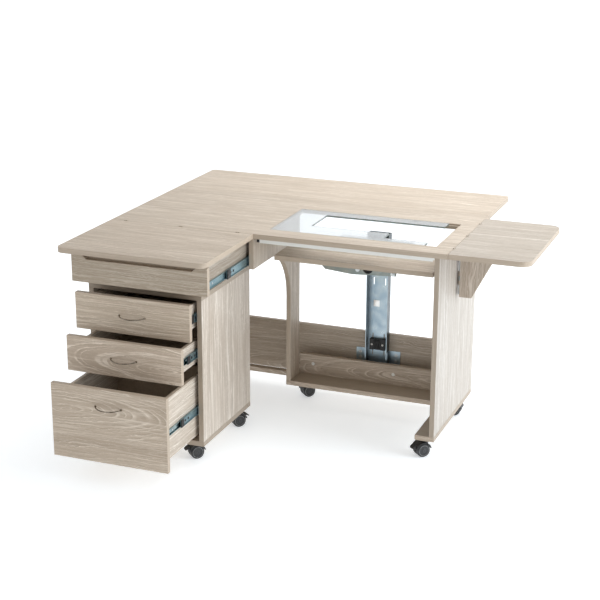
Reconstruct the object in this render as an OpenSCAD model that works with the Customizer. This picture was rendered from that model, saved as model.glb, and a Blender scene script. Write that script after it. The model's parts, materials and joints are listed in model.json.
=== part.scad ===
// Sewing table: an L-shaped worktop with three folding leaves, a machine lift,
// a pull-out tray and a three-drawer pedestal on castors. Millimetres, +Z up.
// The plan's own reference corner (x = 0, y = 0) is where the wing leaf's right edge
// meets the front edge of the main worktop; origin_at() moves it to the base centre.

/* [Boards] */
// Thickness of every laminated board
board = 18; // [16:1:20]
// Height of the worktop surface above the floor
top_z = 765; // [755:1:780]

/* [Main worktop] */
// Width of the worktop to the left of the reference corner
top_left = 557; // [550:1:575]
// Width of the worktop to the right of the reference corner
top_right = 705; // [700:1:720]
// Depth of the fixed worktop
top_depth = 575; // [570:1:590]

/* [Leaves] */
// Depth of the wing leaf in front of the worktop
wing_depth = 410; // [395:1:430]
// Depth of the rear leaf
rear_depth = 317; // [300:1:340]
// Width of the side leaf
side_width = 280; // [240:1:320]
// Depth of the side leaf
side_depth = 510; // [460:1:540]

/* [Machine opening] */
// Left edge of the recess for the clear insert
cut_x0 = 30; // [25:1:40]
// Right edge of the recess
cut_x1 = 645; // [635:1:650]
// Front edge of the recess
cut_y0 = 80; // [75:1:90]
// Rear edge of the recess
cut_y1 = 400; // [395:1:410]
// Width of the ledge that carries the insert
ledge = 8; // [5:1:10]
// Thickness of the clear insert
insert_t = 6; // [5:1:8]

/* [Cabinet] */
// Depth of the middle panel below the worktop
middle_depth = 458; // [456:1:460]
// Set-back of the middle panel's lower front edge
knee_y = 363; // [350:1:375]
// Height of the middle panel's apron below the worktop
apron_h = 114; // [105:1:125]
// Radius of the curve between apron and lower panel
knee_r = 200; // [120:1:220]
// Height of the modesty panel
modesty_h = 200; // [180:1:220]

/* [Machine lift] */
// Height of the machine platform's upper face
platform_z = 667; // [660:1:675]
// Width of the lift column
column_w = 86; // [84:1:90]
// Depth of the lift column
column_d = 36; // [34:1:36]

/* [Tray drawer] */
// How far the tray is pulled out
tray_out = 368; // [300:1:368]
// Height of the tray's front
tray_front_h = 99; // [95:1:99]

/* [Pedestal] */
// Width of the pedestal
ped_w = 430; // [420:1:436]
// Depth of the pedestal
ped_d = 415; // [410:1:430]
// Height of the pedestal's upper face
ped_top = 618; // [612:1:622]
// How far the upper drawer stands open
upper_out = 76; // [0:1:300]
// How far the middle drawer stands open
middle_out = 146; // [0:1:300]
// How far the lower drawer stands open
lower_out = 263; // [0:1:300]

/* [Castors] */
// Distance of the wheel axle from the swivel axis
trail = 16; // [14:1:18]

/* [Hidden] */
$fn = 48;
base_z = 67;                  // undersides of the cabinets, on their castors
wheel_r = 25;
under = top_z - board;
panel_over = 34;              // overhang of the worktop beyond the end panels
right_x = top_right - panel_over;
left_x = -board - 490;        // inner face of the left end panel
panel_y0 = 3;                 // front edge of the left end and middle panels
right_y0 = 29;                // front edge of the right panel
cab_y1 = 547;                 // rear edge of the end panels
shelf_top = base_z + board;
seam = 0.5;                   // half of the gap between two worktop boards
loose = 0.2;                  // gap that keeps neighbouring boards separate

ped_x1 = -62;
ped_x0 = ped_x1 - ped_w;
ped_y0 = -304;
ped_y1 = ped_y0 + ped_d;
front_gap = 1.5;              // bumper gap behind a closed drawer front

side_t = 12;                  // drawer sides and backs
floor_t = 4;                  // drawer bottoms
slide_w = 12.7;               // thickness of a drawer slide
ped_slide = 400;
tray_slide = 450;
box_d = 380;
tray_z0 = under - 3 - tray_front_h;
tray_slide_z = 662;
tray_slide_h = 35;
ped_slide_h = 31;

wing_axis_z = top_z + seam;
rear_axis = [top_depth + seam, under - 6];
prop_pivot = [560, 590];      // y and z of the prop struts' pivot
prop_len = 200;
prop_angle = 45;
prop_x = [left_x - board / 2, right_x - board / 2];

gate_axis = [right_x + 5.6, 282];
gate_z0 = 536;

column_x = 302;
column_y1 = cab_y1 - board;
column_y0 = column_y1 - column_d;
column_top = 672;
plate_y = 260;                // front face of the carriage's cross plate
plate_z0 = 576;

handle_span = 96;
handle_sag = 26;
handle_bar = 2.1;
handle_tilt = 5;
handle_foot = 2.6;             // how far the bar's ends stand off the drawer front

// centre of the whole table at rest, in plan coordinates
x_lo = -top_left;
x_hi = top_right + side_width;
y_lo = ped_y0 - front_gap - board - lower_out - (handle_sag + handle_foot) * cos(handle_tilt)
    - handle_bar;
y_hi = top_depth + 2 * seam + rear_depth;

// [bottom, top, how far open, handle height] of each pedestal drawer
upper_drawer = [482, 612, upper_out, 547];
middle_drawer = [352, 478, middle_out, 415];
lower_drawer = [84, 348, lower_out, 286];

// [x, y, rest angle] of the castor pivots
main_castors = [[632, 65, 45], [613, 474, 180], [52, 457, 45],
                [left_x - board / 2, 500, 90], [left_x - board / 2, 45, 90]];
ped_castors = [[ped_x1 - 43, -243, 45], [ped_x1 - 43, 55, 225],
               [ped_x0 + 52, -243, 80], [ped_x0 + 52, 55, 260]];

oak_top = [0.84, 0.79, 0.72];
oak_front = [0.65, 0.59, 0.52];
oak_side = [0.80, 0.76, 0.71];
zinc = [0.66, 0.72, 0.76];
nickel = [0.75, 0.74, 0.72];
black = [0.08, 0.08, 0.09];

// ---- helpers ----

// moves plan coordinates to the table's own origin
module origin_at() {
    translate([-(x_lo + x_hi) / 2, -(y_lo + y_hi) / 2, 0]) children();
}

// box between two values on each axis
module span(x, y, z) {
    translate([x[0], y[0], z[0]]) cube([x[1] - x[0], y[1] - y[0], z[1] - z[0]]);
}

// rectangle whose corners are rounded where round is 1: [x0y0, x1y0, x1y1, x0y1]
module leaf_outline(x, y, r, round) {
    corners = [[x[0], y[0]], [x[1], y[0]], [x[1], y[1]], [x[0], y[1]]];
    inward = [[1, 1], [-1, 1], [-1, -1], [1, -1]];
    difference() {
        translate([x[0], y[0]]) square([x[1] - x[0], y[1] - y[0]]);
        for (i = [0 : 3]) if (round[i] == 1) {
            translate(corners[i]) scale(inward[i]) difference() {
                translate([-1, -1]) square(r + 1);
                translate([r, r]) circle(r);
            }
        }
    }
}

// cylinder along x between two values
module x_rod(x, y, z, r) {
    translate([x[0], y, z]) rotate([0, 90, 0]) cylinder(h = x[1] - x[0], r = r);
}

// cylinder along y between two values
module y_rod(x, y, z, r) {
    translate([x, y[0], z]) rotate([-90, 0, 0]) cylinder(h = y[1] - y[0], r = r);
}

// ---- fold-over hinges: axis along local y, fixed half towards -x ----

barrel_r = 5.9;
barrel_z = -9.5;
knuckle_r = 1.9;
wing_hinge_x = [-500, -280, -60];
side_hinge_y = [80, 258, 436];

module at_wing_hinges() {
    for (x = wing_hinge_x) translate([x, 0, wing_axis_z]) rotate([0, 0, -90]) children();
}

module at_side_hinges() {
    for (y = side_hinge_y) translate([top_right, y, wing_axis_z]) children();
}

module fold_hinge_pocket(side) {
    translate([0, 0, barrel_z]) rotate([0, 90 * side, 0]) cylinder(h = 15, r = barrel_r);
    span([min(0, side * 5.5), max(0, side * 5.5)], [-7, 7], [barrel_z, 2]);
}

module fold_hinge_fixed() {
    translate([-14.5, 0, barrel_z]) rotate([0, 90, 0]) cylinder(h = 14, r = barrel_r);
    for (s = [-1, 1]) {
        translate([0, s * 4, 0]) rotate([90, 0, 0]) cylinder(h = 3.6, r = knuckle_r, center = true);
        span([-5, -seam], [s * 4 - 1.8, s * 4 + 1.8], [barrel_z, 0]);
    }
    rotate([90, 0, 0]) cylinder(h = 10, r = 0.9, center = true);
}

module fold_hinge_moving() {
    difference() {
        union() {
            translate([seam, 0, barrel_z]) rotate([0, 90, 0]) cylinder(h = 14, r = barrel_r);
            rotate([90, 0, 0]) cylinder(h = 3.6, r = knuckle_r, center = true);
            span([seam, 5], [-1.8, 1.8], [barrel_z, 0]);
        }
        rotate([90, 0, 0]) cylinder(h = 20, r = 0.95, center = true);
    }
}

// ---- worktop and leaves ----

module main_top() {
    color(oak_top) origin_at() difference() {
        span([-top_left, top_right - seam], [0, top_depth], [under, top_z]);
        span([cut_x0, cut_x1], [cut_y0, cut_y1], [top_z - insert_t, top_z + 1]);
        span([cut_x0 + ledge, cut_x1 - ledge], [cut_y0 + ledge, cut_y1 - ledge],
             [under - 1, top_z + 1]);
        at_wing_hinges() fold_hinge_pocket(-1);
        at_side_hinges() fold_hinge_pocket(-1);
    }
}

module clear_insert() {
    x = [cut_x0 + 0.5, 600];
    color([0.85, 0.92, 0.92, 0.5]) origin_at() difference() {
        span(x, [cut_y0 + 0.5, cut_y1 - 0.5], [top_z - insert_t, top_z]);
        span([150, 601], [185, 345], [under, top_z + 1]);
        span([440, 601], [120, 345], [under, top_z + 1]);
    }
}

module wing_leaf() {
    color(oak_top) origin_at() difference() {
        translate([0, 0, under]) linear_extrude(board)
            leaf_outline([-top_left, 0], [-wing_depth, -2 * seam], 28, [1, 1, 0, 0]);
        at_wing_hinges() fold_hinge_pocket(1);
    }
}

module side_leaf() {
    color(oak_top) origin_at() difference() {
        translate([0, 0, under]) linear_extrude(board)
            leaf_outline([top_right + seam, top_right + side_width],
                         [panel_y0, panel_y0 + side_depth], 40, [0, 1, 1, 0]);
        at_side_hinges() fold_hinge_pocket(1);
    }
}

module rear_leaf() {
    color(oak_top) origin_at() translate([0, 0, under]) linear_extrude(board)
        leaf_outline([-top_left, top_right], [top_depth + 2 * seam, y_hi], 15, [0, 0, 1, 1]);
}

module wing_hinge_halves() {
    color(nickel) origin_at() at_wing_hinges() fold_hinge_moving();
}

module side_hinge_halves() {
    color(nickel) origin_at() at_side_hinges() fold_hinge_moving();
}

// ---- cabinet ----

module castor_socket(p) {
    translate([p[0], p[1], base_z - 1]) cylinder(h = 18, r = 4.05);
}

module left_end_panel() {
    color(oak_side) origin_at() difference() {
        span([left_x - board, left_x], [panel_y0, cab_y1], [base_z, under]);
        for (i = [3, 4]) castor_socket(main_castors[i]);
    }
}

module middle_panel() {
    apron_z = under - apron_h;
    color(oak_side) origin_at() translate([-board, 0, 0]) rotate([90, 0, 90])
        linear_extrude(board) {
            translate([panel_y0, apron_z]) square([middle_depth - panel_y0, apron_h]);
            translate([knee_y, shelf_top]) square([middle_depth - knee_y, under - shelf_top]);
            difference() {
                translate([knee_y - knee_r, apron_z - knee_r]) square(knee_r + 0.01);
                translate([knee_y - knee_r, apron_z - knee_r]) circle(knee_r, $fn = 120);
            }
        }
}

module right_panel() {
    color(oak_side) origin_at()
        span([right_x - board, right_x], [right_y0, cab_y1], [shelf_top, under]);
}

module modesty_panel() {
    color(oak_front) origin_at()
        span([left_x, right_x - board], [cab_y1 - board, cab_y1], [base_z, base_z + modesty_h]);
}

module base_boards() {
    color(oak_front) origin_at() difference() {
        union() {
            span([-board, right_x], [knee_y, cab_y1 - board], [base_z, shelf_top]);
            span([right_x - board, right_x], [knee_y, cab_y1], [base_z, shelf_top]);
            span([right_x - board - 52, right_x], [right_y0, knee_y - loose], [base_z, shelf_top]);
            span([left_x, -board - loose], [455, 483], [base_z, shelf_top]);
            span([0, right_x - board], [465, 483], [shelf_top + loose, shelf_top + 80]);
        }
        for (i = [0 : 2]) castor_socket(main_castors[i]);
    }
}

module top_stiffener() {
    color([0.93, 0.93, 0.91]) origin_at() difference() {
        span([22, right_x - board], [5, 25], [under - 14, under]);
        span([21, right_x - board + 1], [7, 23], [under - 15, under - 2]);
    }
}

// ---- rear leaf hinges and props ----

rear_hinge_x = [-400, 74, 548];
rear_knuckle = 3.5;

module rear_plate_y(x, y) {
    difference() {
        span([x - 25, x + 25], y, [under - 2, under]);
        for (s = [-1, 1]) translate([x + s * 15, (y[0] + y[1]) / 2, under - 3])
            cylinder(h = 4, r = 2);
    }
}

module rear_hinge_fixed(x) {
    rear_plate_y(x, [rear_axis[0] - 34, rear_axis[0]]);
    for (s = [-1, 1]) {
        x_rod([x + s * 17 - 8, x + s * 17 + 8], rear_axis[0], rear_axis[1], rear_knuckle);
        span([x + s * 17 - 8, x + s * 17 + 8], [rear_axis[0] - 2, rear_axis[0]],
             [rear_axis[1], under]);
    }
    x_rod([x - 25, x + 25], rear_axis[0], rear_axis[1], 1.5);
}

module rear_hinge_halves() {
    y1 = rear_axis[0] + 35;
    color(zinc) origin_at() {
        for (x = rear_hinge_x) difference() {
            union() {
                rear_plate_y(x, [rear_axis[0] + seam, y1]);
                x_rod([x - 8.6, x + 8.6], rear_axis[0], rear_axis[1], rear_knuckle);
                span([x - 8.6, x + 8.6], [rear_axis[0] + seam, rear_axis[0] + 2],
                     [rear_axis[1], under]);
            }
            x_rod([x - 30, x + 30], rear_axis[0], rear_axis[1], 1.55);
            for (s = [-1, 1])
                span([x + s * 17 - 8.4, x + s * 17 + 8.4], [rear_axis[0] - 5, rear_axis[0] + 4.2],
                     [rear_axis[1] - 5, under + 1]);
        }
        for (x = prop_x) prop_catch(x);
    }
}

// U-shaped catch under the rear leaf that the prop's tip rests in
module prop_catch(x) {
    y = prop_pivot[0] + prop_len * cos(prop_angle);
    difference() {
        span([x - 9, x + 9], [y - 12, y + 16], [under - 14, under]);
        span([x - 3, x + 3], [y - 13, y + 11], [under - 15, under - 3]);
    }
}

module prop_wall_plate(x) {
    y0 = cab_y1;
    z = prop_pivot[1];
    difference() {
        union() {
            span([x - 8, x + 8], [y0, y0 + 2.5], [z - 45, z + 30]);
            for (s = [-1, 1])
                span([x + s * 4.5 - 1.25, x + s * 4.5 + 1.25], [y0, y0 + 19], [z - 9, z + 9]);
        }
        for (d = [-35, 22]) y_rod(x, [y0 - 1, y0 + 4], z + d, 2.2);
    }
    x_rod([x - 7, x + 7], prop_pivot[0], z, 3);
}

module leaf_props() {
    color(zinc) origin_at() for (x = prop_x)
        translate([x, prop_pivot[0], prop_pivot[1]]) rotate([prop_angle, 0, 0]) difference() {
            union() {
                span([-1.5, 1.5], [0, prop_len], [-7, 7]);
                x_rod([-2.6, 2.6], 0, 0, 7);
                x_rod([-2, 2], prop_len, 0, 7);
            }
            x_rod([-5, 5], 0, 0, 3.05);
        }
}

// ---- gate bracket under the side leaf ----

gate_hinge_z = [600, 700];
gate_knuckle = 3.2;

module gate_outline() {
    x0 = gate_axis[0] + 5.4;
    polygon([[x0, gate_z0], [x0 + 45, gate_z0], [x0 + 153, under - seam], [x0, under - seam]]);
}

module gate_bracket() {
    color(oak_side) origin_at() translate([0, gate_axis[1] - 2, 0]) rotate([90, 0, 0])
        linear_extrude(board) gate_outline();
}

module gate_hinge_fixed(z) {
    span([right_x, right_x + 2], [gate_axis[1], gate_axis[1] + 26], [z - 25, z + 25]);
    for (s = [-1, 1]) {
        translate([gate_axis[0], gate_axis[1], z + s * 17])
            cylinder(h = 16, r = gate_knuckle, center = true);
        span([right_x, gate_axis[0]], [gate_axis[1], gate_axis[1] + 2],
             [z + s * 17 - 8, z + s * 17 + 8]);
    }
    translate([gate_axis[0], gate_axis[1], z]) cylinder(h = 50, r = 1.5, center = true);
}

module gate_hinge_halves() {
    color(zinc) origin_at() for (z = gate_hinge_z) difference() {
        union() {
            span([gate_axis[0], gate_axis[0] + 30], [gate_axis[1] - 2, gate_axis[1]],
                 [z - 25, z + 25]);
            translate([gate_axis[0], gate_axis[1], z])
                cylinder(h = 17.2, r = gate_knuckle, center = true);
        }
        translate([gate_axis[0], gate_axis[1], z]) cylinder(h = 60, r = 1.55, center = true);
        for (s = [-1, 1])
            translate([gate_axis[0], gate_axis[1], z + s * 17])
                cylinder(h = 16.8, r = gate_knuckle + 0.4, center = true);
    }
}

module fixed_hinge_plates() {
    color(zinc) origin_at() {
        at_wing_hinges() fold_hinge_fixed();
        at_side_hinges() fold_hinge_fixed();
        for (x = rear_hinge_x) rear_hinge_fixed(x);
        for (x = prop_x) prop_wall_plate(x);
        for (z = gate_hinge_z) gate_hinge_fixed(z);
    }
}

// ---- machine lift ----

module lift_column() {
    x0 = column_x - column_w / 2;
    x1 = column_x + column_w / 2;
    web = 2.5;
    color(zinc) origin_at() difference() {
        union() {
            span([x0, x1], [column_y1 - web, column_y1], [shelf_top, column_top]);
            span([x0, x0 + web], [column_y0, column_y1], [shelf_top, column_top]);
            span([x1 - web, x1], [column_y0, column_y1], [shelf_top, column_top]);
            for (s = [-1, 1]) {
                edge = s < 0 ? x0 : x1;
                span([min(edge, edge + s * 46), max(edge, edge + s * 46)],
                     [column_y1 - web, column_y1], [148, 200]);
                span([min(edge, edge + s * web), max(edge, edge + s * web)],
                     [column_y0 + 4, column_y1], [148, 200]);
            }
        }
        for (s = [-1, 1]) {
            span([column_x + s * 23 - 2, column_x + s * 23 + 2], [column_y1 - 4, column_y1 + 1],
                 [178, 266]);
            span([column_x + s * 23 - 2, column_x + s * 23 + 2], [column_y1 - 4, column_y1 + 1],
                 [462, 490]);
            y_rod(column_x + s * 72, [column_y1 - 4, column_y1 + 1], 184, 3);
            y_rod(column_x + s * 72, [column_y1 - 4, column_y1 + 1], 162, 3);
        }
        span([column_x - 14, column_x - 8], [column_y1 - 4, column_y1 + 1], [384, 390]);
    }
}

module lift_stop() {
    color(black) origin_at() difference() {
        span([column_x - 31, column_x + 31], [column_y1 - 20.5, column_y1 - 2.5], [203, 246]);
        span([column_x - 14, column_x + 14], [column_y1 - 21.5, column_y1 - 17], [202, 247]);
    }
}

module lift_platform() {
    color(oak_front) origin_at()
        span([41, 631], [95, 390], [platform_z - board, platform_z]);
}

module lift_carriage() {
    z1 = platform_z - board;
    slider_x = [column_x - 39.5, column_x + 39.5];
    arm = 3;
    color([0.72, 0.73, 0.71]) origin_at() difference() {
        union() {
            // plate under the platform
            span([column_x - 140, column_x + 146], [plate_y, column_y0 - 4], [z1 - 3, z1]);
            // front cross plate
            translate([column_x, plate_y + 3, 0]) rotate([90, 0, 0]) linear_extrude(3)
                polygon([[-140, z1], [-140, plate_z0 + 23], [-127, plate_z0 + 9],
                         [-22, plate_z0], [146, plate_z0 + 10], [146, z1]]);
            // cantilever arms
            for (s = [-1, 1])
                span([column_x + s * 33 - arm / 2, column_x + s * 33 + arm / 2],
                     [plate_y, column_y0 + 4], [plate_z0 + 14, z1]);
            // slider inside the column
            span(slider_x, [column_y0 + 2, column_y0 + 5], [plate_z0 + 14, column_top - 20]);
            for (x = [slider_x[0], slider_x[1] - arm])
                span([x, x + arm], [column_y0 + 2, column_y1 - 5], [plate_z0 + 14, column_top - 20]);
        }
        y_rod(column_x + 38, [plate_y - 1, plate_y + 4], plate_z0 + 27, 16);
    }
    color([0.6, 0.61, 0.6]) origin_at() {
        y_rod(column_x, [plate_y - 4, plate_y + 0.01], plate_z0 + 22, 6);
        y_rod(column_x + 134, [plate_y - 4, plate_y + 0.01], plate_z0 + 18, 6);
    }
}

// ---- drawer slides ----

// a slide's own frame: +x from the cabinet wall to the drawer, y along the slide, z centred
// fixed rail: a plate on the wall with two folded lips
module slide_rail(len, h) {
    span([0, 1.2], [0, len], [-h / 2, h / 2]);
    for (s = [-1, 1])
        translate([0, 0, s * (h / 2 - 0.6)]) span([0, 11], [0, len], [-0.6, 0.6]);
}

// an H section that runs inside a rail of height h
module slide_link(len, h) {
    lip = h / 2 - 2;
    difference() {
        span([2, 10], [0, len], [-lip, lip]);
        for (hollow = [[1, 5.4], [6.6, 11]])
            span(hollow, [-1, len + 1], [1.2 - lip, lip - 1.2]);
        for (y = [36, 58, len - 40, len - 18])
            x_rod([4, 8], y, 0, 3.8);
    }
}

// a channel that runs inside the link of a rail of height h
module slide_runner(len, h) {
    lip = h / 2 - 4.5;
    difference() {
        span([7.2, slide_w], [0, len], [-lip, lip]);
        span([6, 11.4], [-1, len + 1], [1.2 - lip, lip - 1.2]);
        for (y = [20, len / 2, len - 20])
            x_rod([10, 14], y, 0, 2.5);
    }
}

// places a slide on the left and, mirrored, on the right wall of a bay
module slide_pair(wall_x, y, z) {
    translate([wall_x[0], y, z]) children();
    translate([wall_x[1], y, z]) mirror([1, 0, 0]) children();
}

// drawer body of separate boards: two sides, back, inner front and bottom
module drawer_box(x, y, z) {
    for (s = [[x[0], x[0] + side_t], [x[1] - side_t, x[1]]]) span(s, y, z);
    inner = [x[0] + side_t + loose, x[1] - side_t - loose];
    span(inner, [y[1] - side_t, y[1]], z);
    span(inner, [y[0], y[0] + side_t], z);
    span(inner, [y[0] + side_t + loose, y[1] - side_t - loose], [z[0] + 6, z[0] + 6 + floor_t]);
}

// ---- tray drawer ----

tray_wall = [left_x, -board];
tray_y = -tray_out;
tray_x = [tray_wall[0] + slide_w, tray_wall[1] - slide_w];

module tray_front() {
    color(oak_front) origin_at() translate([0, tray_y - 1, 0]) rotate([90, 0, 0])
        linear_extrude(board) difference() {
            translate([left_x, tray_z0]) square([-1 - left_x, tray_front_h]);
            translate([(left_x - 1) / 2, tray_z0 + tray_front_h])
                polygon([[-216, 0.1], [-197, -17], [197, -17], [216, 0.1]]);
        }
}

module tray_box() {
    color(oak_front) origin_at()
        drawer_box(tray_x, [tray_y - 1, tray_y - 1 + tray_slide], [tray_z0 + 3, 735]);
}

module tray_runners() {
    color(zinc) origin_at()
        slide_pair(tray_wall, 4 + tray_y, tray_slide_z) slide_runner(tray_slide, tray_slide_h);
}

module tray_slide_links() {
    color(zinc) origin_at()
        slide_pair(tray_wall, 4 + tray_y / 2, tray_slide_z) slide_link(tray_slide, tray_slide_h);
}

module tray_slide_rails() {
    color(zinc) origin_at() slide_pair(tray_wall, 4, tray_slide_z) slide_rail(tray_slide, tray_slide_h);
}

// ---- pedestal ----

ped_wall = [ped_x0 + board, ped_x1 - board];
slide_y = ped_y0 + 1;

function slide_level(d) = d[0] + (d[1] - d[0]) * 0.44;

module pedestal_walls() {
    color(oak_side) origin_at() {
        for (x = [ped_x0, ped_x1 - board])
            span([x, x + board], [ped_y0, ped_y1], [shelf_top, ped_top - board]);
        span([ped_wall[0] + loose, ped_wall[1] - loose], [ped_y1 - 12, ped_y1],
             [shelf_top, ped_top - board]);
    }
}

module pedestal_shelves() {
    color(oak_top) origin_at() {
        span([ped_x0, ped_x1], [ped_y0, ped_y1], [ped_top - board, ped_top]);
        difference() {
            span([ped_x0, ped_x1], [ped_y0, ped_y1], [base_z, shelf_top]);
            for (p = ped_castors) castor_socket(p);
        }
    }
}

module pedestal_slide_rails() {
    color(zinc) origin_at() for (d = [upper_drawer, middle_drawer, lower_drawer])
        slide_pair(ped_wall, slide_y, slide_level(d)) slide_rail(ped_slide, ped_slide_h);
}

module drawer_front(d) {
    y1 = ped_y0 - front_gap - d[2];
    color(oak_front) origin_at() span([ped_x0, ped_x1], [y1 - board, y1], [d[0], d[1]]);
}

module pedestal_drawer_box(d) {
    y0 = ped_y0 - front_gap - d[2];
    color(oak_side) origin_at()
        drawer_box([ped_wall[0] + slide_w, ped_wall[1] - slide_w], [y0, y0 + box_d],
                   [d[0] + 18, d[1] - 26]);
}

// bow handle: a round bar bent to an arc that leans down from its two feet
module bow_handle(y, z) {
    arc_r = (pow(handle_span / 2, 2) + pow(handle_sag, 2)) / (2 * handle_sag);
    half = asin(handle_span / 2 / arc_r);
    translate([(ped_x0 + ped_x1) / 2, y, z]) {
        rotate([handle_tilt, 0, 0]) translate([0, arc_r - handle_sag - handle_foot, 0])
            rotate([0, 0, -90 - half]) rotate_extrude(angle = 2 * half, $fn = 96)
                translate([arc_r, 0]) circle(handle_bar);
        for (s = [-1, 1]) translate([s * handle_span / 2, 0, 0]) rotate([90, 0, 0])
            cylinder(h = 4, r1 = 3.8, r2 = 2.9);
    }
}

module drawer_fittings(d) {
    y1 = ped_y0 - front_gap - d[2];
    color(nickel) origin_at() {
        bow_handle(y1 - board, d[3]);
        slide_pair(ped_wall, slide_y - d[2], slide_level(d)) slide_runner(ped_slide, ped_slide_h);
    }
}

module drawer_links(d) {
    color(zinc) origin_at()
        slide_pair(ped_wall, slide_y - d[2] / 2, slide_level(d)) slide_link(ped_slide, ped_slide_h);
}

// ---- castors: pivot on local z, wheel axle along local y ----

module castor_at(p) {
    origin_at() translate([p[0], p[1], 0]) rotate([0, 0, p[2]]) children();
}

module castor_housing(p) {
    color(black) castor_at(p) difference() {
        union() {
            intersection() {
                difference() {
                    y_rod(-trail, [-21, 21], wheel_r, wheel_r + 5.5);
                    y_rod(-trail, [-22, 22], wheel_r, wheel_r + 2);
                }
                span([-trail - 40, trail + 20], [-22, 22], [wheel_r + 6, 70]);
            }
            y_rod(-trail, [-4, 4], wheel_r, wheel_r - 4);
            span([-trail, 8], [-4, 4], [wheel_r, 60]);
            translate([0, 0, 50]) cylinder(h = 12, r = 12);
            translate([0, 0, 62]) cylinder(h = 3.5, r = 16);
            cylinder(h = 83, r = 4);
        }
        y_rod(-trail, [-30, 30], wheel_r, 3.05);
        translate([0, 0, -1]) cylinder(h = 24, r = 30);
        for (s = [-1, 1]) difference() {
            y_rod(-trail, [min(s * 4, s * 23), max(s * 4, s * 23)], wheel_r, wheel_r + 1.9);
            y_rod(-trail, [-4, 4], wheel_r, wheel_r);
        }
    }
}

// wheel section: a rounded tread, a rim step and a dished face
module wheel_profile(w) {
    polygon([[0, 0], [wheel_r - 2, 0], [wheel_r, 2], [wheel_r, w - 4], [wheel_r - 1.2, w - 1.6],
             [wheel_r - 3.4, w], [wheel_r - 4.6, w], [wheel_r - 5.4, w - 1.4], [0, w - 0.4]]);
}

module castor_wheels(p) {
    color([0.2, 0.2, 0.21]) castor_at(p) translate([-trail, 0, wheel_r]) {
        for (s = [-1, 1]) rotate([-90 * s, 0, 0]) translate([0, 0, 4.6])
            rotate_extrude() wheel_profile(16.4);
        rotate([90, 0, 0]) cylinder(h = 12, r = 3, center = true);
    }
}

main_top();
left_end_panel();
middle_panel();
right_panel();
modesty_panel();
base_boards();
top_stiffener();
clear_insert();
lift_column();
lift_stop();
fixed_hinge_plates();
tray_slide_rails();
wing_leaf();
wing_hinge_halves();
side_leaf();
side_hinge_halves();
rear_leaf();
rear_hinge_halves();
leaf_props();
gate_bracket();
gate_hinge_halves();
lift_platform();
lift_carriage();
tray_front();
tray_box();
tray_runners();
tray_slide_links();
pedestal_walls();
pedestal_shelves();
pedestal_slide_rails();
drawer_front(upper_drawer);  // upper_drawer_front
pedestal_drawer_box(upper_drawer);  // upper_drawer_box
drawer_fittings(upper_drawer);  // upper_drawer_fittings
drawer_links(upper_drawer);  // upper_drawer_links
drawer_front(middle_drawer);  // middle_drawer_front
pedestal_drawer_box(middle_drawer);  // middle_drawer_box
drawer_fittings(middle_drawer);  // middle_drawer_fittings
drawer_links(middle_drawer);  // middle_drawer_links
drawer_front(lower_drawer);  // lower_drawer_front
pedestal_drawer_box(lower_drawer);  // lower_drawer_box
drawer_fittings(lower_drawer);  // lower_drawer_fittings
drawer_links(lower_drawer);  // lower_drawer_links
castor_housing(main_castors[0]);  // table_castor_1
castor_housing(main_castors[1]);  // table_castor_2
castor_housing(main_castors[2]);  // table_castor_3
castor_housing(main_castors[3]);  // table_castor_4
castor_housing(main_castors[4]);  // table_castor_5
castor_wheels(main_castors[0]);  // table_wheels_1
castor_wheels(main_castors[1]);  // table_wheels_2
castor_wheels(main_castors[2]);  // table_wheels_3
castor_wheels(main_castors[3]);  // table_wheels_4
castor_wheels(main_castors[4]);  // table_wheels_5
castor_housing(ped_castors[0]);  // pedestal_castor_1
castor_housing(ped_castors[1]);  // pedestal_castor_2
castor_housing(ped_castors[2]);  // pedestal_castor_3
castor_housing(ped_castors[3]);  // pedestal_castor_4
castor_wheels(ped_castors[0]);  // pedestal_wheels_1
castor_wheels(ped_castors[1]);  // pedestal_wheels_2
castor_wheels(ped_castors[2]);  // pedestal_wheels_3
castor_wheels(ped_castors[3]);  // pedestal_wheels_4
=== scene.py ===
"""Looks of the sewing table: oak laminate, zinc hardware, castors, small fittings and studio."""

import json
import math

import bmesh
import bpy
from mathutils import Euler, Matrix, Vector

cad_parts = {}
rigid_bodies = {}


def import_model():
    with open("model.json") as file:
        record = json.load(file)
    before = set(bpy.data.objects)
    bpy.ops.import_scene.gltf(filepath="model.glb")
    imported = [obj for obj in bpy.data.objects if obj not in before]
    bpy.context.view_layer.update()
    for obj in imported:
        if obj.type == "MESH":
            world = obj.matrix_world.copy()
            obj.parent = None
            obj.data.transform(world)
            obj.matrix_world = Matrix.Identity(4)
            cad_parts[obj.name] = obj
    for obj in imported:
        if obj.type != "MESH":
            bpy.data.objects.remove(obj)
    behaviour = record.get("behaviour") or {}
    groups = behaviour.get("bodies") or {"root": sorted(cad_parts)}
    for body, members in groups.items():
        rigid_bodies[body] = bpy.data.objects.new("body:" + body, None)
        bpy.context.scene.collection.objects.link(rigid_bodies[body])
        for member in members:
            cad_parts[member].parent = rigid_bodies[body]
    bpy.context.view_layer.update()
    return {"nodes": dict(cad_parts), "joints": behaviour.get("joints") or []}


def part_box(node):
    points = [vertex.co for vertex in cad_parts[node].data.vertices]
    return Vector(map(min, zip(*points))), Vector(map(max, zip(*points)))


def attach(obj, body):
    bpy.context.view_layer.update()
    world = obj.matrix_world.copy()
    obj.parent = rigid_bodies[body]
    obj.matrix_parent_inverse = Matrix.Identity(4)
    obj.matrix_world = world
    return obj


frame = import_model()
nodes = frame["nodes"]

MM = 0.001
# the body that each drawer's middle slide members ride on
LINK_BODY = {"upper_drawer": "upper_links", "middle_drawer": "middle_links", "lower_drawer": "lower_links"}
TOP_LEFT = 0.557  # width of the main worktop to the left of its reference corner


# ---- places ----

def reference_corner():
    """The worktop's front corner where the wing leaf's right edge meets it, on the floor."""
    low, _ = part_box("main_top")
    return Vector((low.x + TOP_LEFT, low.y, 0))


CORNER = reference_corner()


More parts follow.
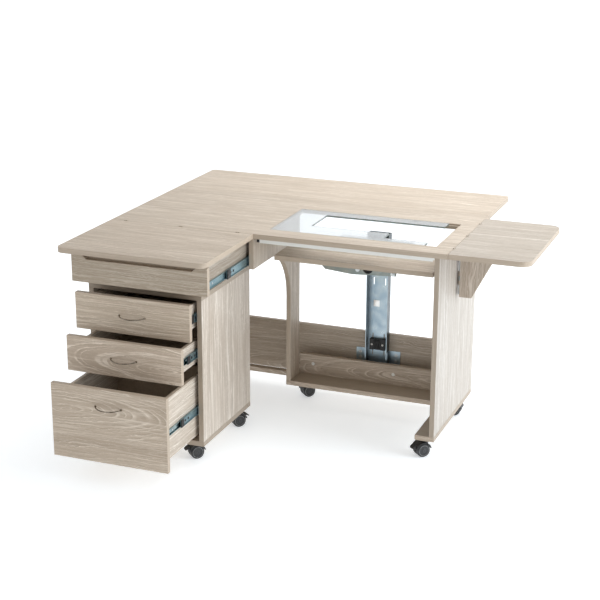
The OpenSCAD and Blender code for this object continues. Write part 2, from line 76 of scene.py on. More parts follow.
def at(x, y, z):
    """A point in metres from millimetres right of, behind and above the reference corner."""
    return CORNER + Vector((x, y, z)) * MM


# ---- camera, light, studio ----

def make_camera():
    """Looks from the front right, from a little above head height."""
    data = bpy.data.cameras.new("camera")
    data.lens = 86.35
    data.sensor_width = 36
    data.clip_end = 150
    camera = bpy.data.objects.new("camera", data)
    bpy.context.scene.collection.objects.link(camera)
    turn, tilt, roll = math.radians(20.98), math.radians(17.75), math.radians(0.27)
    forward = Vector((-math.sin(turn) * math.cos(tilt), math.cos(turn) * math.cos(tilt), -math.sin(tilt)))
    aim = forward.to_track_quat("-Z", "Y")
    camera.rotation_mode = "QUATERNION"
    camera.location = at(1901.5, -4496.7, 2084.3)
    camera.rotation_quaternion = aim @ Matrix.Rotation(roll, 4, "Z").to_quaternion()
    bpy.context.scene.camera = camera


def area_light(name, place, target, size, power, colour):
    """A rectangular lamp that faces its target; power is in watts."""
    data = bpy.data.lights.new(name, "AREA")
    data.shape = "RECTANGLE"
    data.size, data.size_y = size
    data.energy = power
    data.color = colour
    lamp = bpy.data.objects.new(name, data)
    bpy.context.scene.collection.objects.link(lamp)
    lamp.location = place
    lamp.rotation_mode = "QUATERNION"
    lamp.rotation_quaternion = (Vector(target) - Vector(place)).to_track_quat("-Z", "Y")


def make_lights():
    """A cool key light on the right, a warm one overhead and an even surround."""
    bpy.context.scene.view_settings.view_transform = "Standard"
    area_light("key", (3.9, -0.1, 1.75), (0.1, 0, 0.4), (2.4, 2.4), 90, (0.90, 0.96, 1))
    area_light("top", (0.5, 1.1, 2.5), (0.2, 0.5, 0.4), (2.4, 1.8), 46, (1, 0.985, 0.96))
    world = bpy.data.worlds.new("studio")
    bpy.context.scene.world = world
    world.use_nodes = True
    background = world.node_tree.nodes["Background"]
    background.inputs["Color"].default_value = (1, 0.99, 0.97, 1)
    background.inputs["Strength"].default_value = 0.56


def make_floor():
    """A floor that sweeps up into a wall behind the table."""
    wall_y, wall_height, sweep_radius, sweep_steps, half_width = 8.5, 5.0, 1.6, 12, 45.0
    sweep_y = wall_y - sweep_radius
    profile = [(-half_width, 0.0), (sweep_y, 0.0)]
    for i in range(1, sweep_steps + 1):
        a = math.pi / 2 * i / sweep_steps
        profile.append((sweep_y + sweep_radius * math.sin(a), sweep_radius - sweep_radius * math.cos(a)))
    profile.append((wall_y, wall_height))
    mesh = bpy.data.meshes.new("floor")
    bm = bmesh.new()
    rows = [[bm.verts.new((x, y, z)) for y, z in profile] for x in (-half_width, half_width)]
    for i in range(len(profile) - 1):
        bm.faces.new((rows[0][i], rows[0][i + 1], rows[1][i + 1], rows[1][i]))
    bmesh.ops.recalc_face_normals(bm, faces=bm.faces)
    bm.to_mesh(mesh)
    bm.free()
    for face in mesh.polygons:
        face.use_smooth = True
    floor = bpy.data.objects.new("floor", mesh)
    bpy.context.scene.collection.objects.link(floor)
    mesh.materials.append(studio_white())


# ---- material helpers ----

class Graph:
    """A small helper for building one material's node tree."""

    def __init__(self, name):
        self.material = bpy.data.materials.new(name)
        self.material.use_nodes = True
        self.tree = self.material.node_tree
        self.shader = self.tree.nodes["Principled BSDF"]

    def node(self, kind, **inputs):
        """A new node; an underscore in an input's name stands for a space."""
        made = self.tree.nodes.new(kind)
        for key, value in inputs.items():
            self.feed(made.inputs[key.replace("_", " ")], value)
        return made

    def feed(self, socket, value):
        """Links another node's output to a socket, or sets the socket to a plain value."""
        if hasattr(value, "is_output"):
            self.tree.links.new(value, socket)
        else:
            socket.default_value = value

    def place(self, scale=(1, 1, 1), turn=(0, 0, 0), shift=(0, 0, 0)):
        """Object coordinates, turned first, then stretched and shifted."""
        coords = self.tree.nodes.new("ShaderNodeTexCoord")
        turned = self.node("ShaderNodeMapping", Vector=coords.outputs["Object"], Rotation=turn)
        return self.node("ShaderNodeMapping", Vector=turned.outputs["Vector"],
                         Scale=scale, Location=shift).outputs["Vector"]

    def noise(self, vector, scale, detail=3.0, rough=0.5, distortion=0.0):
        """Grey noise, most of it between 0.3 and 0.7."""
        made = self.node("ShaderNodeTexNoise", Vector=vector, Scale=scale, Detail=detail,
                         Roughness=rough, Distortion=distortion)
        return made.outputs["Fac"]

    def remap(self, value, low, high, to_low=0.0, to_high=1.0):
        """Maps low..high to to_low..to_high, and stops at both ends."""
        made = self.node("ShaderNodeMapRange", Value=value, From_Min=low, From_Max=high,
                         To_Min=to_low, To_Max=to_high)
        made.clamp = True
        return made.outputs["Result"]

    def maths(self, operation, first, second=0.0):
        """One sum; second isn't used by an operation on a single value."""
        made = self.tree.nodes.new("ShaderNodeMath")
        made.operation = operation
        self.feed(made.inputs[0], first)
        self.feed(made.inputs[1], second)
        return made.outputs[0]

    def mix(self, factor, first, second):
        """Blends two colours; sockets 6 and 7 and output 2 are the mix node's colour ones."""
        made = self.tree.nodes.new("ShaderNodeMix")
        made.data_type = "RGBA"
        self.feed(made.inputs[0], factor)
        for socket, colour in ((6, first), (7, second)):
            self.feed(made.inputs[socket], colour if hasattr(colour, "is_output") else (*colour, 1))
        return made.outputs[2]

    def bump(self, height, strength, distance):
        """Relief on the surface; distance is the full height's depth in metres."""
        made = self.node("ShaderNodeBump", Height=height, Strength=strength, Distance=distance)
        self.tree.links.new(made.outputs["Normal"], self.shader.inputs["Normal"])

    def set(self, **inputs):
        """Sets or links the shader's own inputs."""
        for key, value in inputs.items():
            self.feed(self.shader.inputs[key.replace("_", " ")], value)


def scaled(colour, factor):
    """The colour made darker or lighter."""
    return tuple(c * factor for c in colour)


def studio_white():
    """White sweep, lit a little from within so that it stays pale under the table."""
    g = Graph("studio_white")
    fleck = g.noise(g.place(), 3.0)
    g.set(Base_Color=g.mix(fleck, (0.89, 0.92, 0.955), (0.88, 0.91, 0.945)), Roughness=0.7,
          Emission_Color=(0.95, 0.98, 1, 1), Emission_Strength=0.475)
    return g.material


# ---- oak laminate ----

GROUND = (0.492, 0.410, 0.326)
SHADE = (0.405, 0.330, 0.255)  # broad darker stretches and late wood
PALE = (0.705, 0.630, 0.540)  # limed pores
GRAIN_TURN = {"X": (0, 0, 0), "Y": (0, 0, math.pi / 2), "Z": (0, math.pi / 2, 0)}
RING_WIDTH = 0.0080  # between two pale lines, before the seasons' noise


def face_mask(g, axis):
    """1 on the faces across the given axis, 0 on the others."""
    coords = g.tree.nodes.new("ShaderNodeTexCoord")
    parts = g.node("ShaderNodeSeparateXYZ", Vector=coords.outputs["Normal"])
    return g.remap(g.maths("ABSOLUTE", parts.outputs[axis]), 0.45, 0.75)


def growth_rings(g, turn, shift, pith, across, slope):
    """How far through its ring each point is: nested flames near the pith, straight lines far from it."""
    drift = g.noise(g.place((1.4, 4.5, 4.5), turn, shift), 2.0, 2.0, 0.45)
    ripple = g.noise(g.place((10.0, 22.0, 22.0), turn, shift), 2.0, 5.0, 0.62)
    wobble = g.maths("ADD", g.maths("MULTIPLY", g.maths("SUBTRACT", drift, 0.5), 0.070),
                     g.maths("MULTIPLY", g.maths("SUBTRACT", ripple, 0.5), 0.016))
    parts = g.node("ShaderNodeSeparateXYZ", Vector=g.place((1, 1, 1), turn))
    side = g.maths("ADD", g.maths("SUBTRACT", parts.outputs[across], pith["XYZ".index(across)]), wobble)
    below = g.maths("MULTIPLY", g.maths("SUBTRACT", parts.outputs["X"], pith[0]), slope)
    side_squared = g.maths("MULTIPLY", side, side)
    below_squared = g.maths("MULTIPLY", below, below)
    radius = g.maths("SQRT", g.maths("ADD", side_squared, below_squared))
    seasons = g.tree.nodes.new("ShaderNodeTexNoise")
    seasons.noise_dimensions = "1D"
    g.feed(seasons.inputs["W"], g.maths("ADD", radius, shift[0]))
    seasons.inputs["Scale"].default_value = 70.0
    uneven = g.maths("MULTIPLY", seasons.outputs["Fac"], 3.0)
    years = g.maths("ADD", g.maths("MULTIPLY", radius, 1 / RING_WIDTH), uneven)
    return g.maths("FRACT", years)


def oak(name, board, grain, thickness, cut, seed, tone, edge_tone):
    """Grey-beige limed oak laminate: taupe ground, pale ring lines and pores, a plain band on thin edges.

    cut is the pith's place along and across the board from its middle, in metres, and its slope;
    tone tints the faces with painted light and shade, and edge_tone sets how dark the banded edges are,
    partly painted shade."""
    g = Graph(name)
    turn = GRAIN_TURN[grain]
    across = "Z" if "Y" in (grain, thickness) else "Y"
    low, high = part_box(board)
    pith = Euler(turn).to_matrix() @ ((low + high) / 2)
    pith[0] += cut[0]
    pith["XYZ".index(across)] += cut[1]
    shift = (seed * 1.7, seed * 2.3, seed * 3.1)
    # painted light and shade: tone scales the ground, shade and pale colours of these faces
    ground, shade, pale = [tuple(c * t for c, t in zip(colour, tone)) for colour in (GROUND, SHADE, PALE)]
    ring = growth_rings(g, turn, shift, pith, across, cut[2])
    broad = g.noise(g.place((0.7, 8.0, 8.0), turn, shift), 3.0, 3.0, 0.55)
    fibre = g.noise(g.place((4.0, 190.0, 190.0), turn, shift), 3.0, 4.0, 0.62)
    streak = g.noise(g.place((1.2, 58.0, 58.0), turn, shift), 3.0, 4.0, 0.66, 0.4)
    pores = g.noise(g.place((14.0, 300.0, 300.0), turn, shift), 3.0, 2.0, 0.5)
    wood = g.mix(g.remap(broad, 0.32, 0.68), shade, ground)
    # limed pores open each ring, dense late wood closes it
    opening = g.maths("MULTIPLY", g.remap(ring, 0.0, 0.08), g.remap(ring, 0.12, 0.36, 1.0, 0.0))
    closing = g.remap(ring, 0.62, 1.0, 0.0, 0.62)
    faded = g.remap(g.noise(g.place((3.0, 12.0, 12.0), turn, shift), 3.0, 2.0), 0.36, 0.54, 0.15, 1.0)
    wood = g.mix(g.maths("MULTIPLY", closing, faded), wood, scaled(shade, 0.86))
    limed = g.maths("MULTIPLY", g.maths("MULTIPLY", opening, faded), g.remap(fibre, 0.34, 0.54, 0.35, 1.0))
    wood = g.mix(limed, wood, pale)
    wood = g.mix(g.remap(streak, 0.53, 0.64, 0.0, 0.60), wood, pale)
    wood = g.mix(g.remap(streak, 0.34, 0.46, 0.55, 0.0), wood, shade)
    pore_mask = g.remap(pores, 0.58, 0.70, 0.0, 0.5)
    wood = g.mix(pore_mask, wood, scaled(pale, 1.06))
    wood = g.mix(g.remap(fibre, 0.30, 0.42, 0.30, 0.0), wood, scaled(shade, 0.7))
    # the edge band is plainer than the faces
    band = g.mix(g.remap(streak, 0.3, 0.7), scaled(SHADE, edge_tone), scaled(GROUND, edge_tone))
    face = face_mask(g, thickness)
    g.set(Base_Color=g.mix(face, band, wood), Roughness=g.remap(fibre, 0.3, 0.7, 0.44, 0.58),
          Specular_IOR_Level=0.42, Coat_Weight=0.05, Coat_Roughness=0.4)
    relief = g.maths("SUBTRACT", g.maths("MULTIPLY", fibre, 0.4), g.maths("MULTIPLY", pore_mask, 0.9))
    g.bump(relief, 0.30, 0.0004)
    return g.material


# ---- other materials ----

def zinc(name, colour=(0.24, 0.35, 0.38), seed=0.0, painted_flank_shade=1.0):
    """Blue-white zinc plate: soft spangle, a faint yellow-green film, drawing marks and scuffs.

    The flank value darkens the faces that look sideways: painted shade and a painted dark reflection on the
    flanges."""
    g = Graph(name)
    cloud = g.noise(g.place(shift=(seed, 0, 0)), 34.0, 4.0, 0.6)
    film = g.noise(g.place(shift=(0, seed, 0)), 9.0, 3.0, 0.6)
    drawn = g.noise(g.place((500.0, 500.0, 12.0)), 1.0, 3.0, 0.6)
    scuff = g.noise(g.place((40.0, 240.0, 90.0)), 1.6, 4.0, 0.7)
    bluer = (colour[0] * 0.80, colour[1] * 0.88, colour[2] * 0.95)
    yellower = (colour[0] * 1.25, colour[1] * 1.15, colour[2] * 0.95)
    tint = g.mix(g.remap(cloud, 0.35, 0.65), colour, bluer)
    tint = g.mix(g.remap(film, 0.50, 0.68, 0.0, 0.30), tint, yellower)
    tint = g.mix(g.remap(scuff, 0.62, 0.74, 0.0, 0.5), tint, (0.50, 0.54, 0.54))
    # painted shade: the faces that look sideways are darkened, standing for shade and a dark reflection on
    # the flanges
    if painted_flank_shade < 1.0:
        tint = g.mix(face_mask(g, "X"), tint, scaled(colour, painted_flank_shade))
    g.set(Base_Color=tint, Metallic=0.85, Roughness=g.remap(cloud, 0.3, 0.7, 0.26, 0.42))
    g.bump(g.maths("ADD", g.maths("MULTIPLY", drawn, 0.6), scuff), 0.12, 0.0003)
    return g.material


def nickel(name, runner_y):
    """Dark brushed nickel handle, brighter where hands polish it.

    Behind runner_y the same node's runners are zinc."""
    g = Graph(name)
    lines = g.noise(g.place((30.0, 900.0, 900.0)), 1.0, 3.0, 0.6)
    wear = g.noise(g.place(), 45.0, 3.0, 0.6)
    parts = g.node("ShaderNodeSeparateXYZ", Vector=g.place())
    handle = g.mix(g.remap(wear, 0.35, 0.7), (0.13, 0.105, 0.080), (0.40, 0.35, 0.29))
    runner = g.mix(g.remap(wear, 0.35, 0.7), (0.22, 0.33, 0.36), (0.38, 0.47, 0.48))
    tint = g.mix(g.maths("GREATER_THAN", parts.outputs["Y"], runner_y), handle, runner)
    g.set(Base_Color=tint, Metallic=1.0, Roughness=g.remap(lines, 0.3, 0.7, 0.15, 0.28))
    g.bump(lines, 0.15, 0.0001)
    return g.material


def blank_foil(name):
    """Blank white foil with faint rolling lines."""
    g = Graph(name)
    lines = g.noise(g.place((30.0, 900.0, 900.0)), 1.0, 3.0, 0.6)
    g.set(Base_Color=g.mix(lines, (0.92, 0.92, 0.91), (0.99, 0.99, 0.98)), Metallic=0.85, Roughness=0.30)
    g.bump(lines, 0.08, 0.0001)
    return g.material


def moulded(name, colour, roughness, dust=0.35):
    """Moulded nylon with a fine grain and a little pale dust."""
    g = Graph(name)
    grain = g.noise(g.place(), 900.0, 2.0, 0.6)
    film = g.noise(g.place(), 60.0, 4.0, 0.65)
    dusty = tuple(min(1.0, c + 0.07) for c in colour)
    g.set(Base_Color=g.mix(g.remap(film, 0.5, 0.75, 0.0, dust), colour, dusty),
          Roughness=g.remap(film, 0.3, 0.7, roughness - 0.06, roughness + 0.12))
    g.bump(grain, 0.25, 0.0002)
    return g.material


def powder_coat(name, colour):
    """Powder-coated steel with a faint orange-peel surface."""
    g = Graph(name)
    peel = g.noise(g.place(), 380.0, 2.0, 0.5)
    cloud = g.noise(g.place(), 14.0, 3.0, 0.6)
    g.set(Base_Color=g.mix(g.remap(cloud, 0.35, 0.7, 0.0, 0.6), colour, scaled(colour, 0.95)),
          Roughness=g.remap(peel, 0.3, 0.7, 0.36, 0.5))
    g.bump(peel, 0.2, 0.0002)
    return g.material


def clear_acrylic(name):
    """Slightly milky acrylic sheet with fine wiping marks and a faint green edge."""
    g = Graph(name)
    marks = g.noise(g.place((60.0, 700.0, 60.0)), 1.0, 3.0, 0.65)
    face = face_mask(g, "Z")
    g.set(Base_Color=g.mix(face, (0.55, 0.70, 0.68), (0.78, 0.80, 0.81)), IOR=1.49,
          Roughness=g.remap(marks, 0.45, 0.75, 0.03, 0.12), Transmission_Weight=0.84)
    return g.material


# ---- mesh helpers ----

def add_piece(name, bm, material, body, smooth=40):
    """Turns a bmesh into an object that rides on a body; edges sharper than smooth degrees stay crisp."""
    bmesh.ops.recalc_face_normals(bm, faces=bm.faces)
    mesh = bpy.data.meshes.new(name)
    bm.to_mesh(mesh)
    bm.free()
    for face in mesh.polygons:
        face.use_smooth = True
    piece = bpy.data.objects.new(name, mesh)
    bpy.context.scene.collection.objects.link(piece)
    mesh.materials.append(material)
    mesh.set_sharp_from_angle(angle=math.radians(smooth))
    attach(piece, body)


def frame_along(axis):
    """A rotation that turns +Z onto the axis."""
    return Vector(axis).normalized().to_track_quat("Z", "Y").to_matrix().to_4x4()


def lathe(bm, place, axis, profile, segments=32):
    """Adds a turned solid: profile is a list of (radius, height along the axis) in metres."""
    turn = Matrix.Translation(place) @ frame_along(axis)
    rings = []
    for radius, height in profile:
        if radius <= 1e-6:
            rings.append([bm.verts.new(turn @ Vector((0, 0, height)))])
            continue
        ring = []
        for i in range(segments):
            a = 2 * math.pi * i / segments
            ring.append(bm.verts.new(turn @ Vector((radius * math.cos(a), radius * math.sin(a), height))))
        rings.append(ring)
    for low, high in zip(rings, rings[1:]):
        join_rings(bm, low, high, segments)


def join_rings(bm, low, high, segments):
    """Faces between two rings; a ring of one point makes a cone."""
    for i in range(segments):
        k = (i + 1) % segments
        if len(low) == 1:
            bm.faces.new((low[0], high[i], high[k]))
        elif len(high) == 1:
            bm.faces.new((low[i], low[k], high[0]))
        else:
            bm.faces.new((low[i], low[k], high[k], high[i]))


def block(bm, low, high, bevel):
    """Adds a box with bevelled edges between two corners."""
    low, high = Vector(low), Vector(high)
    made = bmesh.ops.create_cube(bm, size=1.0)["verts"]
    centre, size = (low + high) / 2, high - low
    for vert in made:
        vert.co = centre + Vector(c * s for c, s in zip(vert.co, size))
    edges = list({edge for vert in made for edge in vert.link_edges})
    bmesh.ops.bevel(bm, geom=edges, offset=bevel, segments=2, affect="EDGES", profile=0.6)


def pan_head(bm, place, axis, radius, height):
    """Adds a pan-head screw: a domed head with a round recess."""
    rim = 0.45  # how much of the height is the straight rim
    profile = [(0, 0), (radius, 0), (radius, height * rim)]
    for i in range(1, 5):
        a = math.pi / 2 * i / 5
        profile.append((radius * math.cos(a * 0.72), height * (rim + (1 - rim) * math.sin(a))))
    recess = radius * 0.34
    profile += [(recess, height * 0.98), (recess * 0.75, height * rim), (0, height * 0.4)]
    lathe(bm, place, axis, profile, 24)


def hex_head(bm, place, axis, across, height):
    """Adds a hexagonal bolt head on a round washer."""
    washer = across * 0.72
    lathe(bm, place, axis, [(0, 0), (washer, 0), (washer, height * 0.25), (0, height * 0.25)], 28)
    lathe(bm, place, axis, [(across * 0.5, height * 0.2), (across * 0.5, height * 0.9),
                            (across * 0.42, height), (0, height)], 6)


def soften(node):
    """Gives a CAD board the slightly rounded edges of a banded board."""
    weld = nodes[node].modifiers.new("weld", "WELD")
    weld.merge_threshold = 0.01 * MM
    bevel = nodes[node].modifiers.new("soft_edges", "BEVEL")
    bevel.width = 0.9 * MM
    bevel.segments = 2
    bevel.limit_method = "ANGLE"
    bevel.angle_limit = math.radians(50)
    bevel.harden_normals = True


def paint(node, material):
    """Gives a CAD node its one material."""
    mesh = nodes[node].data
    mesh.materials.clear()
    mesh.materials.append(material)


# ---- materials on the CAD nodes ----

def dress_boards():
    """Gives each board its grain direction, thickness axis and cut."""
    straight = (0, 0.6, 0.02)
    tall_flame = (0.05, 0.03, 0.05)
    flame_left = (-0.16, 0.05, 0.20)
    flame_right = (0.16, -0.01, 0.20)
    side_flame = (0.1, -0.09, 0.10)
    low_flame = (0.45, 0.0, 0.12)
    boards = {
        "main_top": ("X", "Z", straight), "wing_leaf": ("X", "Z", straight),
        "side_leaf": ("X", "Z", straight), "rear_leaf": ("X", "Z", straight),
        "left_end_panel": ("Z", "X", straight), "middle_panel": ("Z", "X", straight),
        "right_panel": ("Z", "X", tall_flame), "modesty_panel": ("X", "Y", side_flame),
        "base_boards": ("X", "Y", low_flame), "gate_bracket": ("Z", "Y", tall_flame),
        "lift_platform": ("X", "Z", straight), "tray_front": ("X", "Y", straight),
        "tray_box": ("Y", "X", straight), "pedestal_walls": ("Z", "X", tall_flame),
        "pedestal_shelves": ("X", "Z", straight), "upper_drawer_front": ("X", "Y", side_flame),
        "middle_drawer_front": ("X", "Y", flame_right), "lower_drawer_front": ("X", "Y", flame_left),
        "upper_drawer_box": ("Y", "X", straight), "middle_drawer_box": ("Y", "X", straight),
        "lower_drawer_box": ("Y", "X", straight),
    }
    # painted light and shade: each board's faces are brightened, darkened or tinted bluer to stand for how
    # the studio light falls on them; the tray box's darker tone is partly a darker board and partly painted
    # shade under the wing leaf
    light_and_shade_tones = {  # of the faces, painted light and shade; 1 where a board isn't named
        "main_top": (0.95, 0.95, 0.95), "wing_leaf": (0.93, 0.92, 0.91), "side_leaf": (0.82, 0.85, 0.89),
        "right_panel": (0.94, 1.01, 1.12), "modesty_panel": (0.92, 0.92, 0.92),
        "base_boards": (1.00, 0.98, 0.97), "gate_bracket": (0.93, 0.93, 0.95),
        "lift_platform": (0.88, 0.88, 0.88), "tray_front": (0.86, 0.85, 0.82),
        "tray_box": (0.70, 0.70, 0.70), "pedestal_walls": (1.14, 1.18, 1.25),
        "upper_drawer_front": (1.10, 1.08, 1.05), "middle_drawer_front": (1.15, 1.12, 1.10),
        "lower_drawer_front": (1.04, 1.02, 1.00), "upper_drawer_box": (1.16, 1.20, 1.26),
        "middle_drawer_box": (1.16, 1.20, 1.26), "lower_drawer_box": (1.16, 1.20, 1.26),
    }
    # these boards' banded edges are darker, partly from their own band and partly painted shade
    dark_and_shaded_bands = ("right_panel", "base_boards", "pedestal_shelves", "pedestal_walls")
    for i, (node, (grain, thickness, cut)) in enumerate(boards.items()):
        tone = light_and_shade_tones.get(node, (1, 1, 1))
        edge_tone = 0.86 if node in dark_and_shaded_bands else 1.05
        paint(node, oak("oak_" + node, node, grain, thickness, cut, 0.61 * i + 0.2, tone, edge_tone))
        soften(node)


def dress_metal():
    """Zinc, nickel, enamel, rubber, acrylic and nylon on the nodes that aren't boards."""
    plated = [node for node in nodes if node.endswith(("_rails", "_runners", "_links"))
              or node in ("rear_hinge_halves", "leaf_props", "gate_hinge_halves")]
    for i, node in enumerate(plated):
        paint(node, zinc("zinc_" + node, seed=0.7 * i))
    # the column's flanges get painted shade
    paint("lift_column", zinc("column_zinc", (0.52, 0.62, 0.68), painted_flank_shade=0.16))
    paint("lift_carriage", zinc("carriage_steel", (0.29, 0.305, 0.275)))
    for drawer in LINK_BODY:
        node = drawer + "_fittings"
        paint(node, nickel("nickel_" + node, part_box(drawer + "_front")[1].y))
    for node in ("fixed_hinge_plates", "wing_hinge_halves", "side_hinge_halves"):
        paint(node, powder_coat("hinge_enamel_" + node, (0.55, 0.48, 0.40)))
    paint("lift_stop", moulded("stop_rubber", (0.022, 0.022, 0.024), 0.5))
    paint("top_stiffener", powder_coat("white_coat", (0.80, 0.80, 0.77)))
    paint("clear_insert", clear_acrylic("acrylic"))
    housing = moulded("castor_black", (0.012, 0.012, 0.013), 0.34)
    wheel = moulded("castor_grey", (0.030, 0.031, 0.033), 0.42)
    for node in nodes:
        if "_castor_" in node:
            paint(node, housing)
        if "_wheels_" in node:
            paint(node, wheel)


# ---- castor details ----

WHEEL_FACE = 0.0206  # from the castor's middle to a wheel's dished face
RIM_RADIUS = 0.0186
HUB_RADIUS = 0.0078
COLLAR_Z = 0.0602  # just below a castor's top plate
LEVER_CASTORS = ("table_castor_1", "pedestal_castor_1", "pedestal_castor_2")


def dress_castor_wheels(rim_grey, hub_grey):
    """Rim rings and hub caps on both faces of each twin wheel."""
    sunk = 0.0006  # how far inside the wheel's face they start
    for joint in frame["joints"]:
        if "_spin_" not in joint["name"]:
            continue
        centre = Vector(joint["pos_m"])
        axle = Vector(joint["axis"]).normalized()
        body = joint["child"]
        rims, hubs = bmesh.new(), bmesh.new()
        for side in (-1, 1):
            out = axle * side
            place = centre + out * (WHEEL_FACE - sunk)
            lathe(rims, place, out, [(RIM_RADIUS - 0.0008, 0), (RIM_RADIUS - 0.0005, 0.0011),
                                     (RIM_RADIUS, 0.0014), (RIM_RADIUS + 0.0006, 0.0009),
                                     (RIM_RADIUS + 0.0008, 0)], 48)
            lathe(hubs, place, out, [(HUB_RADIUS, 0), (HUB_RADIUS, 0.0008), (HUB_RADIUS - 0.001, 0.0014),
                                     (0.004, 0.0016), (0.0034, 0.0011), (0, 0.0011)], 32)
        add_piece("rims_" + body, rims, rim_grey, body)
        add_piece("hubs_" + body, hubs, hub_grey, body)


def dress_castor_housings(black):
    """A collar round each stem, and a brake lever on the castors that have one."""
    axles = {joint["parent"]: Vector(joint["pos_m"])
             for joint in frame["joints"] if "_spin_" in joint["name"]}
    for joint in frame["joints"]:
        if "_swivel_" not in joint["name"]:
            continue
        body = joint["child"]
        pivot = Vector(joint["pos_m"])
        back = (axles[body] - pivot) * Vector((1, 1, 0))
        back.normalize()
        bm = bmesh.new()
        base = Vector((pivot.x, pivot.y, COLLAR_Z))
        lathe(bm, base, (0, 0, 1), [(0.0122, 0), (0.0142, 0.0006), (0.0150, 0.0018), (0.0122, 0.0018)], 40)
        if body in LEVER_CASTORS:
            add_lever(bm, axles[body], back)
        add_piece("collar_" + body, bm, black, body)


def add_lever(bm, axle, back):
    """A tapered foot tongue that leans out of the hood's rear."""
    up = Vector((0, 0, 1))
    across = back.cross(up)
    # each station's distance from the axle, height above it, half width and half thickness
    stations = [(0.024, 0.019, 0.0130, 0.0020), (0.031, 0.018, 0.0120, 0.0026),
                (0.038, 0.014, 0.0115, 0.0022), (0.042, 0.011, 0.0090, 0.0012)]
    rows = []
    for out, rise, half, thick in stations:
        middle = axle + back * out + up * rise
        rows.append([bm.verts.new(middle + across * half * side + up * thick * level)
                     for side, level in ((1, 1), (-1, 1), (-1, -1), (1, -1))])
    for near, far in zip(rows, rows[1:]):
        for i in range(4):
            k = (i + 1) % 4
            bm.faces.new((near[i], near[k], far[k], far[i]))
    bm.faces.new(rows[0])
    bm.faces.new(rows[-1])


# ---- lift details ----

def dress_lift(steel, white, black):
    """Everything screwed, riveted or stuck to the lift."""
    column_low, column_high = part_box("lift_column")
    middle = (column_low.x + column_high.x) / 2
    web_thickness = 0.0025
    web_front = column_high.y - web_thickness
    dress_column(middle, web_front, steel)
    dress_stop(middle, white, black)
    dress_carriage(middle, steel, black)


def dress_column(middle, web_front, steel):
    """Bolts in the column's feet and a blank plate on its web."""
    bolts = bmesh.new()
    for side in (-1, 1):
        for height in (0.162, 0.184):
            hex_head(bolts, Vector((middle + side * 0.072, web_front, height)), (0, -1, 0), 0.009, 0.0045)
    add_piece("column_bolts", bolts, steel, "table", 30)

    plate = bmesh.new()
    block(plate, (middle - 0.0235, web_front - 0.0014, 0.374),
          (middle + 0.0015, web_front - 0.0001, 0.400), 0.0006)
    add_piece("column_plate", plate, blank_foil("label_foil"), "table")


def dress_stop(middle, white, black):
    """Two rivets and a ribbed grip on the stop block."""
    low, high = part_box("lift_stop")
    rivets = bmesh.new()
    for side in (-1, 1):
        spot = Vector((middle + side * 0.0215, low.y, (low.z + high.z) / 2))
        lathe(rivets, spot, (0, -1, 0), [(0.0042, 0), (0.0040, 0.0011), (0.0026, 0.0021), (0, 0.0024)], 24)
    add_piece("stop_rivets", rivets, white, "table")

    grip = bmesh.new()
    rib_pitch, rib_half, ribs = 0.007, 0.0024, 4
    for i in range(ribs):
        x = middle + rib_pitch * (i - (ribs - 1) / 2)
        block(grip, (x - rib_half, low.y - 0.0016, low.z + 0.004),
              (x + rib_half, low.y + 0.0034, high.z - 0.004), 0.0008)
    add_piece("stop_grip", grip, black, "table")


def dress_carriage(middle, steel, black):
    """Bolts and screws in the carriage's plates, and a bush in its lever hole."""
    low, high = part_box("lift_carriage")
    heads = bmesh.new()
    for x, z in ((middle, low.z + 0.022), (middle + 0.134, low.z + 0.018)):
        hex_head(heads, Vector((x, low.y, z)), (0, -1, 0), 0.0115, 0.005)
    for x in (low.x + 0.018, high.x - 0.018):
        for y in (low.y + 0.03, high.y - 0.06):
            pan_head(heads, Vector((x, y, high.z - 0.003)), (0, 0, -1), 0.005, 0.0028)
    add_piece("carriage_bolts", heads, steel, "lift", 30)

    bush = bmesh.new()
    spot = Vector((middle + 0.038, low.y + 0.004, low.z + 0.027))
    lathe(bush, spot, (0, -1, 0), [(0, -0.0028), (0.0156, -0.0028), (0.0156, 0.0002), (0.0188, 0.0003),
                                   (0.0184, 0.0028), (0.0150, 0.0036), (0.0132, 0.0022), (0.0126, -0.0018),
                                   (0, -0.0018)], 40)
    add_piece("carriage_bush", bush, black, "lift")


# ---- slides ----

RUNNER_H = 0.022  # height of the pedestal drawers' runners
RUNNER_START = 0.0025  # from the front of a pedestal drawer's box to its runners
SCREW_SPOTS = (0.028, 0.078)  # from a runner's front end
HOLE_SHADE_SPOTS = (0.036, 0.058)  # from a link's front end, where black discs stand in as painted shade in the link's holes


def dress_slides(steel, black):
    """Plugs and screws in the runners, and caps on the links, of every slide, with black discs that paint
    the shade in the links' holes.
    """
    for drawer, links in LINK_BODY.items():
        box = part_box(drawer + "_box")
        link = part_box(drawer + "_links")
        z = (link[0].z + link[1].z) / 2
        runner = (Vector((0, box[0].y + RUNNER_START, z - RUNNER_H / 2)), Vector((0, 0, z + RUNNER_H / 2)))
        trim_slide(drawer, links, (box[0].x, box[1].x), runner, link, 0.020, steel, black)
    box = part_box("tray_box")
    trim_slide("tray", "tray_links", (box[0].x, box[1].x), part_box("tray_runners"),
               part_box("tray_slide_links"), 0.028, steel, black)


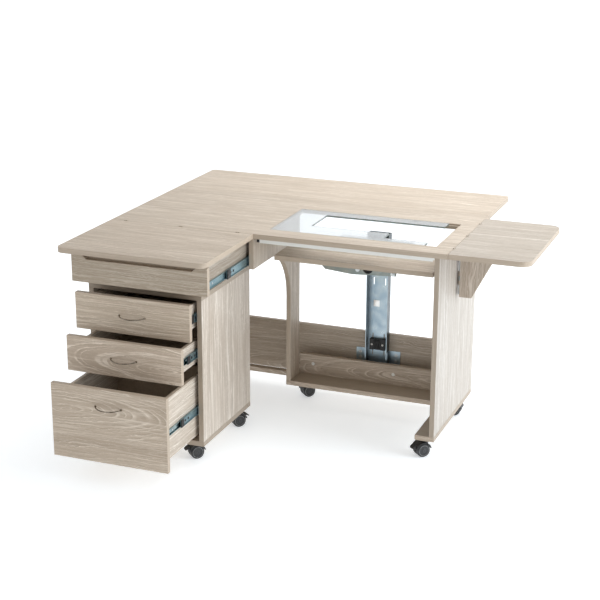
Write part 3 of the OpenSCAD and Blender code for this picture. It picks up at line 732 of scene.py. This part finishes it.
def trim_slide(body, links, sides, runner, link, cap_length, steel, black):
    """Details on both slides of a drawer.

    sides are the x of the box's two sides; runner and link are boxes, of which only y and z are read."""
    z = (runner[0].z + runner[1].z) / 2
    plugs, screws, caps, hole_shades = bmesh.new(), bmesh.new(), bmesh.new(), bmesh.new()
    plug_half = (runner[1].z - runner[0].z) / 2 - 0.0016
    cap_half = (link[1].z - link[0].z) / 2 + 0.0003
    for x, out in ((sides[0], -1), (sides[1], 1)):
        xs = sorted((x + out * 0.0014, x + out * 0.0052))
        block(plugs, (xs[0], runner[0].y + 0.0004, z - plug_half),
              (xs[1], runner[0].y + 0.009, z + plug_half), 0.0008)
        for y in SCREW_SPOTS:
            pan_head(screws, Vector((x + out * 0.0013, runner[0].y + y, z)), (out, 0, 0), 0.0038, 0.0019)
        xs = sorted((x + out * 0.0075, x + out * 0.0111))
        block(caps, (xs[0], link[0].y - 0.0005, z - cap_half),
              (xs[1], link[0].y + cap_length, z + cap_half), 0.0005)
        # painted shade: a black disc behind each of the link's holes makes it read dark
        for y in HOLE_SHADE_SPOTS:
            lathe(hole_shades, Vector((x + out * 0.0073, link[0].y + y, z)), (out, 0, 0),
                  [(0, -0.0008), (0.0037, -0.0008), (0.0037, 0.0001), (0.0047, 0.0001), (0.0045, 0.0007),
                   (0.0036, 0.0009), (0.0030, -0.0002), (0, -0.0002)], 24)
    add_piece("slide_hole_shades_" + body, hole_shades, black, links)
    add_piece("slide_plugs_" + body, plugs, black, body)
    add_piece("slide_screws_" + body, screws, steel, body)
    add_piece("slide_caps_" + body, caps, black, links)


# ---- boards' fittings ----

def dress_fittings(white, steel, black):
    """Caps over the base rail's screws, an end cap on the stiffener and the gate's hardware."""
    caps = bmesh.new()
    for x in (55, 383):
        lathe(caps, at(x, 465, 128), (0, -1, 0),
              [(0.0066, 0), (0.0064, 0.0009), (0.0045, 0.0016), (0, 0.0018)], 28)
    add_piece("rail_caps", caps, white, "table")

    low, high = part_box("top_stiffener")
    end = bmesh.new()
    block(end, (low.x - 0.012, low.y + 0.002, low.z + 0.001),
          (low.x - 0.0003, high.y - 0.002, high.z - 0.0003), 0.001)
    add_piece("stiffener_end", end, black, "table")
    dress_gate(steel)


def dress_gate(steel):
    """Screws in the gate's hinges, and the rod that runs down its hinge axis."""
    hinge_low, hinge_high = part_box("gate_hinge_halves")
    hinge_length = 0.050
    screws = bmesh.new()
    for z in (hinge_low.z + 0.010, hinge_low.z + 0.040, hinge_high.z - 0.040, hinge_high.z - 0.010):
        pan_head(screws, Vector((hinge_high.x - 0.011, hinge_high.y - 0.0032, z)), (0, 1, 0), 0.003, 0.0012)
    add_piece("gate_screws", screws, steel, "gate")

    swing = next(joint for joint in frame["joints"] if joint["name"] == "gate_swing")
    axis_x, axis_y, _ = swing["pos_m"]
    gate_low, gate_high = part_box("gate_bracket")
    clear = 0.001  # between the rod's ends and the hinges
    stretches = ((gate_low.z + 0.004, hinge_low.z - clear),
                 (hinge_low.z + hinge_length + clear, hinge_high.z - hinge_length - clear),
                 (hinge_high.z + clear, gate_high.z - 0.004))
    rod = bmesh.new()
    for low, high in stretches:
        lathe(rod, Vector((axis_x, axis_y, low)), (0, 0, 1),
              [(0, 0), (0.0030, 0.0004), (0.0030, high - low - 0.0004), (0, high - low)], 20)
    add_piece("gate_rod", rod, steel, "gate")


make_camera()
make_lights()
make_floor()
dress_boards()
dress_metal()
soft_white = moulded("cap_white", (0.78, 0.77, 0.74), 0.4, 0.15)
soft_black = moulded("fitting_black", (0.010, 0.010, 0.011), 0.42, 0.12)
rim_grey = moulded("rim_grey", (0.26, 0.265, 0.27), 0.4, 0.2)
hub_grey = moulded("hub_grey", (0.038, 0.039, 0.042), 0.36, 0.3)
bolt_steel = zinc("bolt_zinc", (0.66, 0.68, 0.68), 3.1)
dress_castor_wheels(rim_grey, hub_grey)
dress_castor_housings(soft_black)
dress_lift(bolt_steel, soft_white, soft_black)
dress_slides(bolt_steel, soft_black)
dress_fittings(soft_white, bolt_steel, soft_black)
